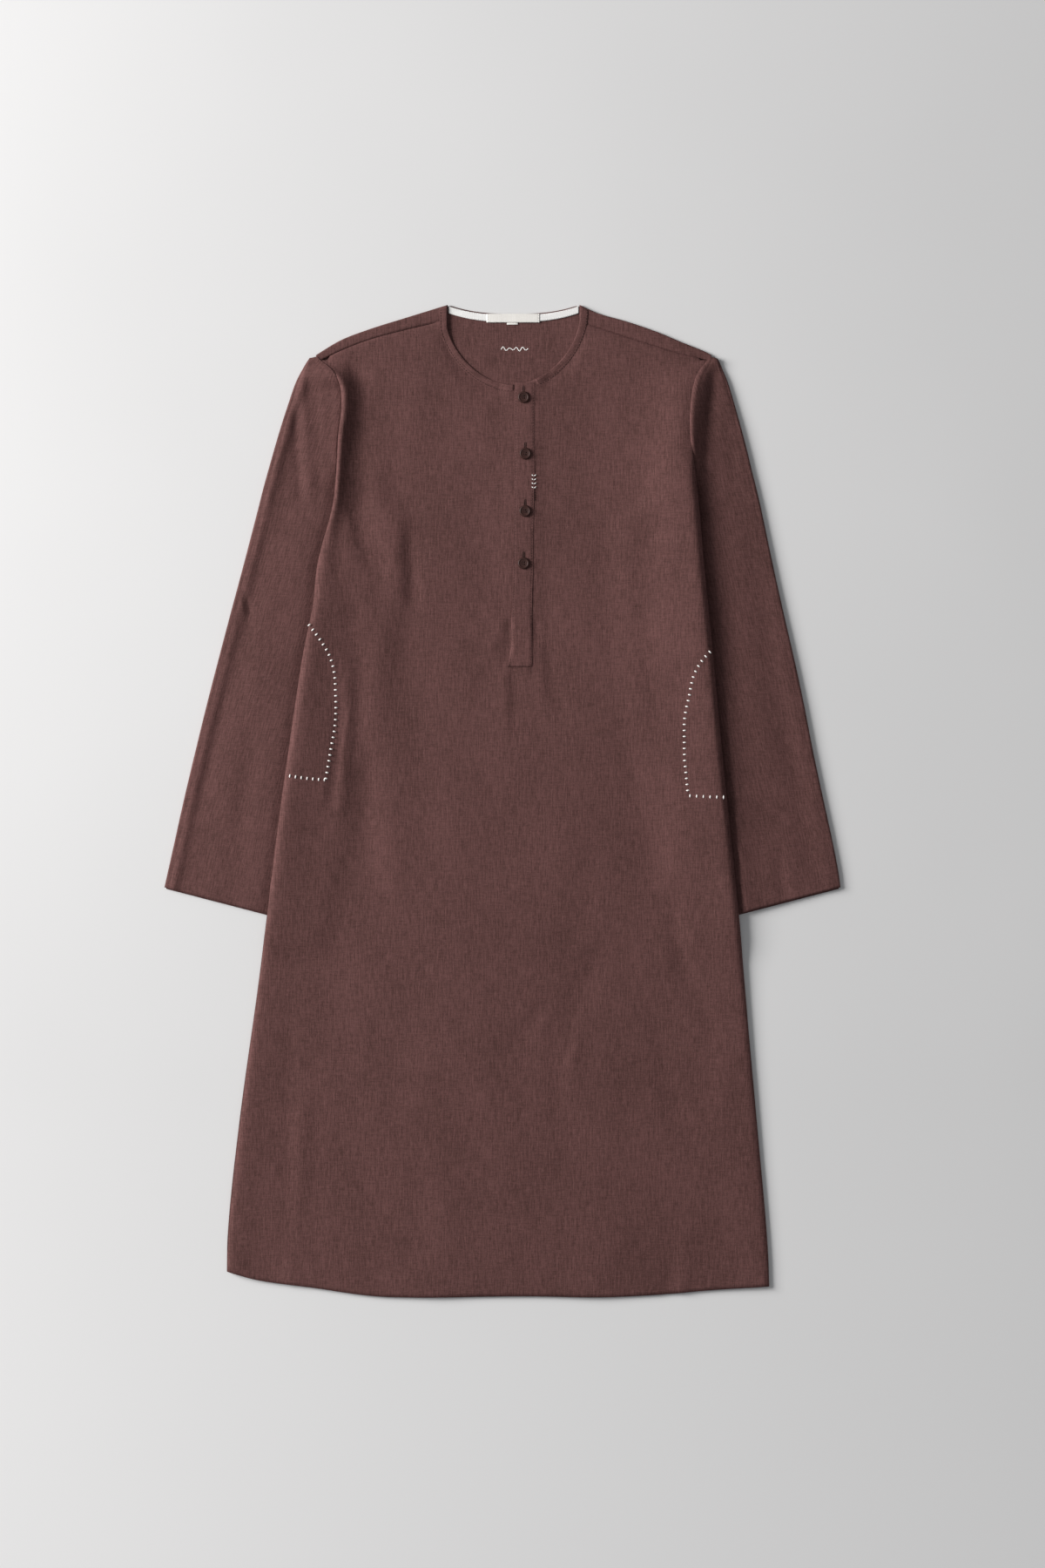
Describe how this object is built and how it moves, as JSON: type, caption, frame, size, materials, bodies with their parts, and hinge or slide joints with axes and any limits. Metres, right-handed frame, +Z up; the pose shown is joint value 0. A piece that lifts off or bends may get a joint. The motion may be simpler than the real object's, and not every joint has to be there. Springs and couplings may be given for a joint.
{
  "type": "kurta tunic",
  "caption": "Long-sleeved collarless kurta tunic laid flat, with a round neck, half placket, shirt buttons and stitched side pockets.",
  "frame": {"origin": "on the surface that the garment lies on, under the middle of its outline", "axes": "+Y towards the neck, +X to the viewer's right looking down on the front, +Z up out of the front"},
  "size_m": [0.722, 1.0593, 0.0174],
  "materials": {
    "cloth": "matt slubby handwoven cloth",
    "white_trim": "matt woven tape",
    "button": "soft gloss"
  },
  "bodies": {
    "root": {"front": "cloth", "back": "cloth", "sleeve_left": "cloth", "sleeve_right": "cloth", "placket": "cloth", "under_placket": "cloth", "neck_binding_left": "cloth", "neck_binding_right": "cloth", "pocket_left": "cloth", "pocket_right": "cloth", "back_neck_tape": "white_trim", "label": "white_trim", "label_tab": "white_trim", "button_1": "button", "button_2": "button", "button_3": "button", "button_4": "button"}
  },
  "joints": []
}
